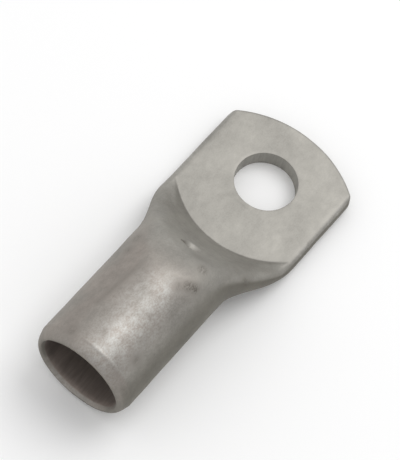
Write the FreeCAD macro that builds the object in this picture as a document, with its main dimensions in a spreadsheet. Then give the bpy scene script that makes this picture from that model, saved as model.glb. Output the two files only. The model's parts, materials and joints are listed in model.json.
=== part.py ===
import FreeCAD, Part
import math
import os
import Sketcher

# Tubular cable lug, pressed from one length of copper tube and tinned.
# The frame: the origin lies on the contact face under the palm, at the middle of the stud hole.
# +X runs along the palm away from the tube, +Y across it and +Z up, out of the palm.
# The tube opens towards -X, and it lies on the same plane as the palm.

doc = FreeCAD.newDocument("cable_lug")
V = FreeCAD.Vector

# Driving sizes, in millimetres and degrees. A reach is a distance along the lug from the stud hole.
SIZES = [
    ("barrel_diameter", 22.0, "outside of the tube, crimped onto the cable"),
    ("bore_diameter", 17.5, "inside of the tube, takes the stranded conductor"),
    ("mouth_reach", 60.4, "to the mouth of the tube"),
    ("mouth_round_length", 3.9, "length of the rolled-in outer edge at the mouth"),
    ("mouth_round_drop", 1.5, "how far that edge is rolled in"),
    ("entry_depth", 1.15, "length of the entry bevel inside the mouth"),
    ("entry_widening", 0.65, "how far the bevel opens beyond the bore, on the radius"),
    ("bore_draw", 0.05, "how far the bore has drawn in where the tube starts to spread, on the radius"),
    ("spread_start", 29.8, "to where the tube starts to spread"),
    ("spread_end", 11.6, "to where it has become the flat palm"),
    ("spread_belly", 1.25, "extra width that the squeezed tube has half way"),
    ("palm_width", 31.35, "across the palm"),
    ("palm_thickness", 4.3, "two walls of the tube pressed together"),
    ("press_travel", 0.5, "last squeeze of the flattened tube under the die's flat nose"),
    ("palm_reach", 14.1, "to the end of the palm"),
    ("palm_side_bulge", 1.3, "how far the palm's round sides stand out"),
    ("palm_end_radius", 25.0, "the cropped end of the palm"),
    ("palm_corner_radius", 2.4, "where that end meets the sides"),
    ("stud_hole", 13.0, "clearance hole for a 12 mm stud"),
    ("hole_edge", 0.15, "edge of the hole, softened by tumbling"),
    ("end_edge", 0.4, "edge of the palm's cropped end"),
    ("slit_gap", 0.3, "what stays open between the walls beside the press mark"),
    ("nose_radius", 19.6, "round nose of the press die, seen from above"),
    ("nose_offset", 2.0, "middle of that nose, past the stud hole"),
    ("slope_angle", 50.0, "slope that the die leaves, from the palm's plane"),
    ("slope_lead_radius", 13.0, "where the slope runs out into the top of the tube"),
    ("crease_radius", 0.6, "where the slope meets the palm"),
    ("dimple_reach", 26.0, "to the punched sight dimple on the slope"),
    ("dimple_diameter", 4.2, "across the sight dimple"),
    ("dimple_depth", 0.6, "depth of the sight dimple"),
]

sheet = doc.addObject("Spreadsheet::Sheet", "sizes")
for row, (alias, value, meaning) in enumerate(SIZES, start=1):
    sheet.set(f"A{row}", meaning)
    sheet.set(f"B{row}", str(value))
    sheet.setAlias(f"B{row}", alias)
doc.recompute()

SIZE = {alias: f"<<sizes>>.{alias}" for alias, value, meaning in SIZES}

# Handles of sketch geometry: an edge's start, end and centre, and the sketch's own axes and origin
START, END, CENTRE = 1, 2, 3
ACROSS, UPRIGHT = -1, -2
ORIGIN = (-1, 1)


def now(expression):
    """What an expression of driving sizes gives at present, so that a sketch starts in its true shape."""
    value = sheet.evalExpression(str(expression))
    return float(getattr(value, "Value", value))


def lay_on(feature, body, role, right="0", up="0", along="0"):
    """Lay a sketch or solid on one of the body's origin planes, moved along the plane's axes and normal."""
    plane = next(part for part in body.Origin.OriginFeatures if part.Role == role)
    feature.AttachmentSupport = [(plane, "")]
    feature.MapMode = "FlatFace"
    for axis, expression in (("x", right), ("y", up), ("z", along)):
        feature.setExpression(f"AttachmentOffset.Base.{axis}", expression)


def new_sketch(body, name, role, **moved):
    """A sketch on one of the body's origin planes, moved as lay_on says."""
    sketch = body.newObject("Sketcher::SketchObject", name)
    lay_on(sketch, body, role, **moved)
    return sketch


def fix(sketch, kind, *where):
    """Add a constraint that has no size of its own."""
    sketch.addConstraint(Sketcher.Constraint(kind, *where))


def measure(sketch, name, expression, kind, *where):
    """Add a named dimension and bind it to an expression of driving sizes, an angle's in degrees."""
    value = math.radians(now(expression)) if kind == "Angle" else now(expression)
    index = sketch.addConstraint(Sketcher.Constraint(kind, *where, value))
    sketch.renameConstraint(index, name)
    sketch.setExpression(f"Constraints.{name}", expression)


def join(sketch, *links):
    """Join edges end to start: each link names two edges and whether they run on smoothly."""
    for first, second, smooth in links:
        fix(sketch, "Tangent" if smooth else "Coincident", first, END, second, START)


def arc(centre, radius, first, last):
    """A circular arc in a sketch, from one angle to another in degrees."""
    circle = Part.Circle(V(*centre, 0), V(0, 0, 1), radius)
    return Part.ArcOfCircle(circle, math.radians(first), math.radians(last))


def outline(sketch, corners):
    """A closed outline of straight edges; each corner is a pair of expressions from the sketch's origin."""
    places = [(now(right), now(up)) for right, up in corners]
    edges = list(zip(places, places[1:] + places[:1]))
    for start, end in edges:
        sketch.addGeometry(Part.LineSegment(V(*start, 0), V(*end, 0)))
    count = len(edges)
    join(sketch, *[(edge, (edge + 1) % count, False) for edge in range(count)])
    for edge, (right, up) in enumerate(corners):
        place(sketch, f"corner_{edge}", (edge, START), right, up)


def place(sketch, name, handle, right, up):
    """Fix one point of a sketch by two expressions from the origin, on an axis where one is zero."""
    if now(right) == 0:
        fix(sketch, "PointOnObject", *handle, UPRIGHT)
    else:
        measure(sketch, f"{name}_right", right, "DistanceX", *ORIGIN, *handle)
    if now(up) == 0:
        fix(sketch, "PointOnObject", *handle, ACROSS)
    else:
        measure(sketch, f"{name}_up", up, "DistanceY", *ORIGIN, *handle)


# The die's lead-out ends this far above the tube, so that it leaves the tube's top at a small angle,
LEAD_RISE = 0.06
# and the die itself goes on this far above that
ABOVE = 2.0

# The arc that rounds the palm's end has its centre this many edge sizes in from both faces that it crosses
ARC_INSET = 1.5
ARC_RADIUS = math.hypot(ARC_INSET, ARC_INSET - 1)

# Squeezing the tube. At a share of the way from spread_start to spread_end, smooth at both ends,
# the tube's height falls to the palm's thickness and its width grows to the palm's.
STATIONS = (0.0, 0.12, 0.25, 0.4, 0.55, 0.7, 0.85, 1.0)
# An oval's top arc turns by this much each way, as the tangent of half that turn, while it is a circle
CIRCLE_SHARE = math.tan(math.radians(45 / 2))


def eased(share):
    """A share of the way that starts and ends gently."""
    return round(share * share * (3 - 2 * share), 5)


def between(first, last, share):
    """An expression that runs gently from one size to another."""
    return f"(({first}) * {1 - eased(share):.5f} + ({last}) * {eased(share)})"


def round_section(sketch, diameter):
    """The tube's round section in four equal arcs, so that it matches the squeezed ones."""
    radius = now(diameter) / 2
    for first in (-45, 45, 135, 225):
        sketch.addGeometry(arc((0, 0), radius, first, first + 90))
    join(sketch, (0, 1, False), (1, 2, False), (2, 3, False), (3, 0, False))
    for edge in range(4):
        fix(sketch, "Coincident", edge, CENTRE, *ORIGIN)
    fix(sketch, "Vertical", 0, START, 0, END)
    fix(sketch, "Horizontal", 0, END, 1, END)
    fix(sketch, "Vertical", 1, END, 2, END)
    measure(sketch, "diameter", diameter, "Diameter", 0)
    measure(sketch, "corner", f"({diameter}) * sqrt(2) / 4", "DistanceX", *ORIGIN, 0, END)


def squeezed_section(sketch, width, height):
    """An oval of four arcs that run on into each other, given by its width and height."""
    wide, tall = now(width), now(height)
    side = f"({height}) * {1 - CIRCLE_SHARE:.5f} / (2 - {2 * CIRCLE_SHARE:.5f} * ({height}) / ({width}))"
    side_radius = now(side)
    half_turn = CIRCLE_SHARE * tall / wide
    grown = (wide - tall) / 2 * (1 + half_turn ** 2) / (2 * half_turn * (1 - half_turn))
    top_radius = side_radius + grown
    top_angle = math.degrees(2 * math.atan(half_turn))
    side_angle = 90 - top_angle
    side_centre = wide / 2 - side_radius
    top_centre = tall / 2 - top_radius
    sketch.addGeometry(arc((side_centre, 0), side_radius, -side_angle, side_angle))
    sketch.addGeometry(arc((0, top_centre), top_radius, 90 - top_angle, 90 + top_angle))
    sketch.addGeometry(arc((-side_centre, 0), side_radius, 180 - side_angle, 180 + side_angle))
    sketch.addGeometry(arc((0, -top_centre), top_radius, 270 - top_angle, 270 + top_angle))
    widest = sketch.addGeometry(Part.Point(V(wide / 2, 0, 0)), True)
    highest = sketch.addGeometry(Part.Point(V(0, tall / 2, 0)), True)
    join(sketch, (0, 1, True), (1, 2, False), (2, 3, False), (3, 0, False))
    for edge, axis in ((0, ACROSS), (1, UPRIGHT), (2, ACROSS)):
        fix(sketch, "PointOnObject", edge, CENTRE, axis)
    fix(sketch, "Horizontal", 0, END, 1, END)
    fix(sketch, "Vertical", 0, START, 0, END)
    fix(sketch, "Horizontal", 2, END, 0, START)
    fix(sketch, "Equal", 0, 2)
    fix(sketch, "Equal", 1, 3)
    fix(sketch, "PointOnObject", widest, START, ACROSS)
    fix(sketch, "PointOnObject", widest, START, 0)
    fix(sketch, "PointOnObject", highest, START, UPRIGHT)
    fix(sketch, "PointOnObject", highest, START, 1)
    measure(sketch, "side_radius", side, "Radius", 0)
    measure(sketch, "half_width", f"({width}) / 2", "DistanceX", *ORIGIN, widest, START)
    measure(sketch, "half_height", f"({height}) / 2", "DistanceY", *ORIGIN, highest, START)


def palm_section(sketch):
    """The palm's section: flat above and below, with round sides left by the tube's folded wall."""
    half_width, half_thickness = now(SIZE["palm_width"]) / 2, now(PRESSED_HEIGHT) / 2
    bulge = now(SIZE["palm_side_bulge"])
    flat = half_width - bulge
    radius = (half_thickness ** 2 + bulge ** 2) / (2 * bulge)
    span = math.degrees(math.asin(half_thickness / radius))
    centre = half_width - radius
    sketch.addGeometry(arc((centre, 0), radius, -span, span))
    sketch.addGeometry(Part.LineSegment(V(flat, half_thickness, 0), V(-flat, half_thickness, 0)))
    sketch.addGeometry(arc((-centre, 0), radius, 180 - span, 180 + span))
    sketch.addGeometry(Part.LineSegment(V(-flat, -half_thickness, 0), V(flat, -half_thickness, 0)))
    widest = sketch.addGeometry(Part.Point(V(half_width, 0, 0)), True)
    join(sketch, (0, 1, False), (1, 2, False), (2, 3, False), (3, 0, False))
    fix(sketch, "Symmetric", 1, START, 1, END, UPRIGHT)
    fix(sketch, "Vertical", 0, START, 0, END)
    fix(sketch, "Vertical", 2, START, 2, END)
    fix(sketch, "PointOnObject", 0, CENTRE, ACROSS)
    fix(sketch, "PointOnObject", 2, CENTRE, ACROSS)
    fix(sketch, "Equal", 0, 2)
    fix(sketch, "PointOnObject", widest, START, ACROSS)
    fix(sketch, "PointOnObject", widest, START, 0)
    measure(sketch, "half_thickness", f"({PRESSED_HEIGHT}) / 2", "DistanceY", *ORIGIN, 0, END)
    measure(sketch, "half_width", f"{SIZE['palm_width']} / 2", "DistanceX", *ORIGIN, widest, START)
    half_flat = f"{SIZE['palm_width']} / 2 - {SIZE['palm_side_bulge']}"
    measure(sketch, "half_flat", half_flat, "DistanceX", *ORIGIN, 0, END)


def end_outline(sketch):
    """What lies past the palm's end: outside one large arc, which is rounded into the sides."""
    tip, radius = now(SIZE["palm_reach"]), now(SIZE["palm_end_radius"])
    corner, side = now(SIZE["palm_corner_radius"]), now(SIZE["palm_width"]) / 2
    beyond = side + corner
    centre = tip - radius
    corner_up = side - corner
    corner_right = centre + math.sqrt((radius - corner) ** 2 - corner_up ** 2)
    turn = math.degrees(math.atan2(corner_up, corner_right - centre))
    sketch.addGeometry(arc((centre, 0), radius, -turn, turn))
    sketch.addGeometry(arc((corner_right, corner_up), corner, turn, 90))
    sketch.addGeometry(Part.LineSegment(V(corner_right, side, 0), V(corner_right, beyond, 0)))
    sketch.addGeometry(Part.LineSegment(V(corner_right, beyond, 0), V(tip + corner, beyond, 0)))
    sketch.addGeometry(Part.LineSegment(V(tip + corner, beyond, 0), V(tip + corner, -beyond, 0)))
    sketch.addGeometry(Part.LineSegment(V(tip + corner, -beyond, 0), V(corner_right, -beyond, 0)))
    sketch.addGeometry(Part.LineSegment(V(corner_right, -beyond, 0), V(corner_right, -side, 0)))
    sketch.addGeometry(arc((corner_right, -corner_up), corner, -90, -turn))
    furthest = sketch.addGeometry(Part.Point(V(tip, 0, 0)), True)
    join(sketch, (0, 1, True), (2, 3, False), (3, 4, False), (4, 5, False), (5, 6, False))
    fix(sketch, "Coincident", 1, END, 2, START)
    fix(sketch, "Coincident", 6, END, 7, START)
    fix(sketch, "Tangent", 7, END, 0, START)
    fix(sketch, "Vertical", 2)
    fix(sketch, "Vertical", 1, CENTRE, 1, END)
    fix(sketch, "Horizontal", 3)
    fix(sketch, "Horizontal", 5)
    fix(sketch, "Vertical", 6)
    fix(sketch, "Vertical", 7, CENTRE, 7, START)
    fix(sketch, "PointOnObject", 0, CENTRE, ACROSS)
    fix(sketch, "PointOnObject", furthest, START, ACROSS)
    fix(sketch, "PointOnObject", furthest, START, 0)
    fix(sketch, "Equal", 1, 7)
    fix(sketch, "Symmetric", 4, START, 4, END, ACROSS)
    measure(sketch, "tip", SIZE["palm_reach"], "DistanceX", *ORIGIN, furthest, START)
    measure(sketch, "end_radius", SIZE["palm_end_radius"], "Radius", 0)
    measure(sketch, "corner_radius", SIZE["palm_corner_radius"], "Radius", 1)
    half = f"{SIZE['palm_width']} / 2"
    measure(sketch, "side", half, "DistanceY", *ORIGIN, 1, END)
    measure(sketch, "other_side", f"-{half}", "DistanceY", *ORIGIN, 7, START)
    measure(sketch, "past_side", f"{half} + {SIZE['palm_corner_radius']}", "DistanceY", *ORIGIN, 2, END)
    past = f"{SIZE['palm_reach']} + {SIZE['palm_corner_radius']}"
    measure(sketch, "past_tip", past, "DistanceX", *ORIGIN, 3, END)


def end_profile(sketch):
    """What rounding takes from the palm's end, seen from the side: a wedge above and a wedge below.

    Each is bounded by an arc that crosses the palm's face and its cropped wall, end_edge from where they
    meet, and ends outside both.
    """
    thickness = SIZE["palm_thickness"]
    inset = f"({ARC_INSET} * {SIZE['end_edge']})"
    radius = f"{ARC_RADIUS:.5f} * {SIZE['end_edge']}"
    middle = f"{SIZE['palm_end_radius']} - {inset}"
    past_end = f"{SIZE['palm_end_radius']} + {SIZE['palm_corner_radius']}"
    wedges = (
        ("top", f"{thickness} - {inset}", f"2 * {thickness}", 1, (START, END)),
        ("bottom", inset, f"-{thickness}", -1, (END, START)),
    )
    for name, level, beyond, way, (at_wall, at_face) in wedges:
        centre = (now(middle), now(level))
        angles = (0, 90) if way > 0 else (270, 360)
        quarter = sketch.addGeometry(arc(centre, now(radius), *angles))
        face_end = (centre[0], centre[1] + way * now(radius))
        wall_end = (centre[0] + now(radius), centre[1])
        far = (now(past_end), now(beyond))
        corners = [face_end, (centre[0], far[1]), far, (far[0], centre[1]), wall_end]
        for first, last in zip(corners, corners[1:]):
            sketch.addGeometry(Part.LineSegment(V(*first, 0), V(*last, 0)))
        away, out, back, home = range(quarter + 1, quarter + 5)
        fix(sketch, "Coincident", quarter, at_face, away, START)
        join(sketch, (away, out, False), (out, back, False), (back, home, False))
        fix(sketch, "Coincident", home, END, quarter, at_wall)
        fix(sketch, "Vertical", away)
        fix(sketch, "Horizontal", out)
        fix(sketch, "Vertical", back)
        fix(sketch, "Horizontal", home)
        fix(sketch, "Vertical", quarter, CENTRE, quarter, at_face)
        fix(sketch, "Horizontal", quarter, CENTRE, quarter, at_wall)
        measure(sketch, f"{name}_radius", radius, "Radius", quarter)
        place(sketch, f"{name}_middle", (quarter, CENTRE), middle, level)
        place(sketch, f"{name}_past", (out, END), past_end, beyond)


def die_outline(sketch, flat, depth):
    """Half of the press die's outline, from its middle line: a flat nose, a slope and a long lead-out.

    flat is the height of the nose's flat, and depth how far inside the lug's skin the outline runs.
    """
    slope = math.radians(now(SIZE["slope_angle"]))
    low = now(flat)
    skin_low = now(SIZE["palm_thickness"])
    inward = now(depth)
    crease = now(SIZE["crease_radius"]) + inward
    lead = now(SIZE["slope_lead_radius"]) - inward
    top = now(SIZE["barrel_diameter"]) + LEAD_RISE - inward
    # where the slope's line crosses the flat's, out from the middle
    corner = now(SIZE["nose_radius"]) + inward / math.sin(slope) - (skin_low - low) / math.tan(slope)
    crease_start = corner - crease * math.tan(slope / 2)
    crease_end = (crease_start + crease * math.sin(slope), low + crease * (1 - math.cos(slope)))
    lead_rise = lead * (1 - math.cos(slope))
    lead_start = (corner + (top - lead_rise - low) / math.tan(slope), top - lead_rise)
    lead_end = lead_start[0] + lead * math.sin(slope)
    angle = math.degrees(slope)
    above = top + ABOVE
    sketch.addGeometry(Part.LineSegment(V(0, low, 0), V(-crease_start, low, 0)))
    sketch.addGeometry(arc((-crease_start, low + crease), crease, 270 - angle, 270))
    foot, head = V(-crease_end[0], crease_end[1], 0), V(-lead_start[0], lead_start[1], 0)
    sketch.addGeometry(Part.LineSegment(foot, head))
    sketch.addGeometry(arc((-lead_end, top - lead), lead, 90 - angle, 90))
    sketch.addGeometry(Part.LineSegment(V(-lead_end, top, 0), V(-lead_end, above, 0)))
    sketch.addGeometry(Part.LineSegment(V(-lead_end, above, 0), V(0, above, 0)))
    sketch.addGeometry(Part.LineSegment(V(0, above, 0), V(0, low, 0)))
    knee = sketch.addGeometry(Part.Point(V(-corner, low, 0)), True)
    fix(sketch, "Tangent", 0, END, 1, END)
    fix(sketch, "Tangent", 1, START, 2, START)
    fix(sketch, "Tangent", 2, END, 3, START)
    fix(sketch, "Coincident", 3, END, 4, START)
    join(sketch, (4, 5, False), (5, 6, False), (6, 0, False))
    fix(sketch, "Horizontal", 0)
    fix(sketch, "Vertical", 3, CENTRE, 3, END)
    fix(sketch, "Vertical", 4)
    fix(sketch, "Horizontal", 5)
    fix(sketch, "PointOnObject", 0, START, UPRIGHT)
    fix(sketch, "PointOnObject", 6, START, UPRIGHT)
    fix(sketch, "PointOnObject", knee, START, 0)
    fix(sketch, "PointOnObject", knee, START, 2)
    measure(sketch, "flat", flat, "DistanceY", *ORIGIN, 0, START)
    nose = (
        f"-({SIZE['nose_radius']} + ({depth}) / sin({SIZE['slope_angle']})"
        f" - ({SIZE['palm_thickness']} - ({flat})) / tan({SIZE['slope_angle']}))"
    )
    measure(sketch, "nose", nose, "DistanceX", *ORIGIN, knee, START)
    measure(sketch, "crease_radius", f"{SIZE['crease_radius']} + ({depth})", "Radius", 1)
    measure(sketch, "lead_radius", f"{SIZE['slope_lead_radius']} - ({depth})", "Radius", 3)
    highest = f"{SIZE['barrel_diameter']} + {LEAD_RISE} - ({depth})"
    measure(sketch, "crest", highest, "DistanceY", *ORIGIN, 3, END)
    measure(sketch, "above", f"{highest} + {ABOVE}", "DistanceY", *ORIGIN, 5, END)
    measure(sketch, "slope", f"180 - {SIZE['slope_angle']}", "Angle", 0, END, 2, START)


def tube_profile(sketch):
    """Half of the tube's section along its axis, with its outer edge rolled in at the mouth."""
    mouth, shoulder = now(SIZE["mouth_reach"]), now(SIZE["spread_start"])
    roll, drop = now(SIZE["mouth_round_length"]), now(SIZE["mouth_round_drop"])
    radius = now(SIZE["barrel_diameter"]) / 2
    lip = radius - drop
    rolled = Part.ArcOfEllipse(Part.Ellipse(V(roll - mouth, lip, 0), roll, drop), math.pi / 2, math.pi)
    sketch.addGeometry(rolled)
    sketch.addGeometry(Part.LineSegment(V(-mouth, lip, 0), V(-mouth, 0, 0)))
    sketch.addGeometry(Part.LineSegment(V(-mouth, 0, 0), V(-shoulder, 0, 0)))
    sketch.addGeometry(Part.LineSegment(V(-shoulder, 0, 0), V(-shoulder, radius, 0)))
    sketch.addGeometry(Part.LineSegment(V(-shoulder, radius, 0), V(roll - mouth, radius, 0)))
    sketch.exposeInternalGeometry(0)
    long_axis = 5
    join(sketch, (0, 1, False), (1, 2, False), (2, 3, False), (3, 4, False), (4, 0, False))
    fix(sketch, "Horizontal", long_axis)
    fix(sketch, "Horizontal", 0, CENTRE, 0, END)
    fix(sketch, "Vertical", 0, CENTRE, 0, START)
    fix(sketch, "Vertical", 1)
    fix(sketch, "Vertical", 3)
    fix(sketch, "Horizontal", 4)
    fix(sketch, "PointOnObject", 1, END, ACROSS)
    fix(sketch, "PointOnObject", 3, START, ACROSS)
    measure(sketch, "mouth", f"-{SIZE['mouth_reach']}", "DistanceX", *ORIGIN, 1, END)
    measure(sketch, "shoulder", f"-{SIZE['spread_start']}", "DistanceX", *ORIGIN, 3, START)
    measure(sketch, "radius", f"{SIZE['barrel_diameter']} / 2", "DistanceY", *ORIGIN, 3, END)
    lip_height = f"{SIZE['barrel_diameter']} / 2 - {SIZE['mouth_round_drop']}"
    measure(sketch, "lip", lip_height, "DistanceY", *ORIGIN, 0, END)
    roll_back = f"{SIZE['mouth_round_length']} - {SIZE['mouth_reach']}"
    measure(sketch, "roll", roll_back, "DistanceX", *ORIGIN, 0, CENTRE)


def squeeze(body, name, diameter, last_width, last_height, make_last):
    """The tube's change from round to flat, through sections that follow the die's travel."""
    sections = []
    for index, share in enumerate(STATIONS):
        outside = between(SIZE["barrel_diameter"], PRESSED_HEIGHT, share)
        along = f"-{SIZE['spread_start']} + ({SIZE['spread_start']} - {SIZE['spread_end']}) * {share}"
        section = new_sketch(body, f"{name}_section_{index}", "YZ_Plane", along=along, up=f"{outside} / 2")
        if share == 0.0:
            round_section(section, diameter)
        elif share == 1.0:
            make_last(section)
        else:
            belly = round(4 * eased(share) * (1 - eased(share)), 5)
            width = f"({between(diameter, last_width, share)} + {SIZE['spread_belly']} * {belly})"
            squeezed_section(section, width, between(diameter, last_height, share))
        sections.append(section)
    doc.recompute()
    loft = body.newObject("PartDesign::AdditiveLoft", name)
    loft.Profile = sections[0]
    loft.Sections = sections[1:]
    doc.recompute()
    return sections[-1]


def spun(body, kind, name, sketch, axis, turn=360):
    """A profile turned about one of its sketch's own axes, added or cut away; a part turn goes both ways."""
    feature = body.newObject(kind, name)
    feature.Profile = sketch
    feature.ReferenceAxis = (sketch, [axis])
    feature.Midplane = turn < 360
    feature.Angle = turn
    doc.recompute()
    return feature


def drilled(body, name, diameter):
    """A round hole straight through the palm at the origin."""
    sketch = new_sketch(body, f"{name}_outline", "XY_Plane")
    sketch.addGeometry(Part.Circle(V(0, 0, 0), V(0, 0, 1), now(diameter) / 2))
    fix(sketch, "Coincident", 0, CENTRE, *ORIGIN)
    measure(sketch, "diameter", diameter, "Diameter", 0)
    return through(body, name, sketch)


def through(body, name, sketch):
    """Cut a closed outline right through the body, both ways from its sketch."""
    pocket = body.newObject("PartDesign::Pocket", name)
    pocket.Profile = sketch
    pocket.Type = "ThroughAll"
    pocket.Midplane = True
    doc.recompute()
    return pocket


def soften(body, name, radius, wanted):
    """Round the edges that a test picks out."""
    base = body.Tip
    picked = [f"Edge{number}" for number, edge in enumerate(base.Shape.Edges, start=1) if wanted(edge)]
    if not picked:
        raise ValueError(f"{name}: no edge found")
    fillet = body.newObject("PartDesign::Fillet", name)
    fillet.Base = (base, picked)
    fillet.setExpression("Radius", radius)
    doc.recompute()
    return fillet


WALL = f"(({SIZE['barrel_diameter']} - {SIZE['bore_diameter']}) / 2)"
AXIS_HEIGHT = f"{SIZE['barrel_diameter']} / 2"
# the flattened tube stands a little high until the die's flat nose has come down on it
PRESSED_HEIGHT = f"{SIZE['palm_thickness']} + {SIZE['press_travel']}"
# the die's slope and the lead-out above it reach this far along the tube's top, from the stud hole
SLOPE_RISE = (
    f"({SIZE['barrel_diameter']} + {LEAD_RISE} - {SIZE['palm_thickness']}"
    f" - {SIZE['slope_lead_radius']} * (1 - cos({SIZE['slope_angle']})))"
)
SLOPE_REACH = (
    f"({SIZE['nose_radius']} - {SIZE['nose_offset']} + {SLOPE_RISE} / tan({SIZE['slope_angle']})"
    f" + {SIZE['slope_lead_radius']} * sin({SIZE['slope_angle']}))"
)

# Outer form
outer = doc.addObject("PartDesign::Body", "outer_form")
tube = new_sketch(outer, "tube_section", "XZ_Plane", up=AXIS_HEIGHT)
tube_profile(tube)
spun(outer, "PartDesign::Revolution", "tube", tube, "H_Axis")

palm_end_section = squeeze(
    outer, "flare", SIZE["barrel_diameter"], SIZE["palm_width"], PRESSED_HEIGHT, palm_section
)
palm = outer.newObject("PartDesign::Pad", "palm")
palm.Profile = palm_end_section
palm.setExpression("Length", f"{SIZE['spread_end']} + {SIZE['palm_reach']}")
doc.recompute()

palm_end = new_sketch(outer, "palm_end_outline", "XY_Plane")
end_outline(palm_end)
through(outer, "cropped_end", palm_end)

# The die's round nose comes down on the tube and leaves the palm's flat, the curved crease and the slope
die = new_sketch(outer, "die_outline", "XZ_Plane", right=SIZE["nose_offset"])
die_outline(die, SIZE["palm_thickness"], "0")
spun(outer, "PartDesign::Groove", "press", die, "V_Axis")

# Cropping leaves a square end; its edges are rounded all along the large arc and run out at the corners
end_middle = f"{SIZE['palm_reach']} - {SIZE['palm_end_radius']}"
end_edges = new_sketch(outer, "end_edges_profile", "XZ_Plane", right=end_middle)
end_profile(end_edges)
spun(outer, "PartDesign::Groove", "end_edges", end_edges, "V_Axis", turn=180)

drilled(outer, "stud_hole", SIZE["stud_hole"])


def is_hole_edge(edge):
    curve = edge.Curve
    return isinstance(curve, Part.Circle) and abs(curve.Radius - now(SIZE["stud_hole"]) / 2) < 0.01


soften(outer, "hole_edges", SIZE["hole_edge"], is_hole_edge)

# The sight dimple, punched square to the slope by a ball that stands off it
depth, diameter = SIZE["dimple_depth"], SIZE["dimple_diameter"]
ball_radius = f"({diameter}^2 / 4 + {depth}^2) / (2 * {depth})"
standoff = f"({ball_radius} - {depth})"
up_slope = f"({SIZE['dimple_reach']} + {SIZE['nose_offset']} - {SIZE['nose_radius']})"
dimple_height = f"({SIZE['palm_thickness']} + {up_slope} * tan({SIZE['slope_angle']}))"
dimple = outer.newObject("PartDesign::SubtractiveSphere", "sight_dimple")
dimple.setExpression("Radius", ball_radius)
lay_on(
    dimple, outer, "XY_Plane",
    right=f"-{SIZE['dimple_reach']} + sin({SIZE['slope_angle']}) * {standoff}",
    along=f"{dimple_height} + cos({SIZE['slope_angle']}) * {standoff}",
)
doc.recompute()

# The hollow inside: the straight bore as far as the slope above it, then the bore drawn in by the press
cavity = doc.addObject("PartDesign::Body", "cavity")
bore = new_sketch(cavity, "bore_section", "XZ_Plane", up=AXIS_HEIGHT)
bore_radius = f"{SIZE['bore_diameter']} / 2"
entry_radius = f"{bore_radius} + {SIZE['entry_widening']}"
drawn_radius = f"{bore_radius} - {SIZE['bore_draw']}"
outline(bore, [
    (f"-{SIZE['mouth_reach']} - {SIZE['entry_depth']}", "0"),
    (f"-{SIZE['spread_start']}", "0"),
    (f"-{SIZE['spread_start']}", drawn_radius),
    (f"-{SLOPE_REACH}", bore_radius),
    (f"-{SIZE['mouth_reach']} + {SIZE['entry_depth']}", bore_radius),
    (f"-{SIZE['mouth_reach']}", entry_radius),
    (f"-{SIZE['mouth_reach']} - {SIZE['entry_depth']}", entry_radius),
])
spun(cavity, "PartDesign::Revolution", "bore", bore, "H_Axis")
inner_width = f"({SIZE['palm_width']} - 2 * {WALL})"
squeeze(
    cavity, "closing_bore", f"2 * ({drawn_radius})", inner_width, SIZE["slit_gap"],
    lambda sketch: squeezed_section(sketch, inner_width, SIZE["slit_gap"])
)
inner_die = new_sketch(cavity, "inner_die_outline", "XZ_Plane", right=SIZE["nose_offset"])
die_outline(inner_die, f"{SIZE['palm_thickness']} / 2 - {SIZE['slit_gap']}", WALL)
spun(cavity, "PartDesign::Groove", "inner_press", inner_die, "V_Axis")

# The finished lug
lug = doc.addObject("Part::Cut", "lug")
lug.Label = "cable_lug"
lug.Base = outer
lug.Tool = cavity
lug.Placement = FreeCAD.Placement(V(0, 0, 0), FreeCAD.Rotation())
doc.recompute()

SUBPARTS = [lug]

for item in doc.Objects:
    if "Invalid" in item.State or "Error" in item.State:
        raise RuntimeError(f"{item.Label} did not build: {item.State}")
os.makedirs("parts", exist_ok=True)
for subpart in SUBPARTS:
    shape = subpart.Shape
    if shape.isNull() or not shape.isValid() or len(shape.Solids) != 1:
        raise RuntimeError(f"{subpart.Label} is not one sound solid")
    print(subpart.Label, "volume", round(shape.Volume, 1), "mm3, box", shape.BoundBox)
    shape.exportStep(f"parts/{subpart.Label}.step")
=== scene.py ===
# %% [markdown]
# # A pressed cable lug
#
# This lesson dresses one part: a tubular cable lug, pressed from a single length of copper tube and
# tinned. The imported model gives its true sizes. Here its skin is built again as one fine surface, so
# that its edges and shoulders are as soft as pressing and tumbling leave them, and it gets a satin tin
# finish.

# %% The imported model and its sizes
import json
import math

import bmesh
import bpy
import numpy as np
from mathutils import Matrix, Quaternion, Vector


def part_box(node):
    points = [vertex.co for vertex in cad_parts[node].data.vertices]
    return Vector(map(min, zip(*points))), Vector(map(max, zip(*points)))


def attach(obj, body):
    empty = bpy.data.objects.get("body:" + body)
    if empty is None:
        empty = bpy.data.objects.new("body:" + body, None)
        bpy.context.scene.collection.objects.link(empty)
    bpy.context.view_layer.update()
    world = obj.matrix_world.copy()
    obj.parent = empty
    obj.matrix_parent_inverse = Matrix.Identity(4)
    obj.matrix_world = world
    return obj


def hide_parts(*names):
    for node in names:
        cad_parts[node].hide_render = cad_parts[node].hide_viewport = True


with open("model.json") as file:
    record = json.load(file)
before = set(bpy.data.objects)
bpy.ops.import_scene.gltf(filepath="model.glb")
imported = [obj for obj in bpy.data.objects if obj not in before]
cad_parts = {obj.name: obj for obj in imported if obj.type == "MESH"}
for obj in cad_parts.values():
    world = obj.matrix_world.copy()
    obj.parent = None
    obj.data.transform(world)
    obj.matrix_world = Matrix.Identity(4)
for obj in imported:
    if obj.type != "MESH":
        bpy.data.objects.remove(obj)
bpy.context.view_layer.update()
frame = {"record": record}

MM = 0.001
low, high = (np.array(corner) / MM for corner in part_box("cable_lug"))
mounts = {mount["name"]: mount["dims"] for mount in frame["record"]["mounts"]}
MOUTH, TIP = low[0], high[0]
PALM_HALF = high[1]
TUBE_RADIUS = high[2] / 2
BORE_RADIUS = mounts["cable_bore"]["r_mm"]
HOLE_RADIUS = mounts["stud_hole"]["r_mm"]
PALM_THICKNESS = mounts["stud_hole"]["length_mm"]
WALL = TUBE_RADIUS - BORE_RADIUS
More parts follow.
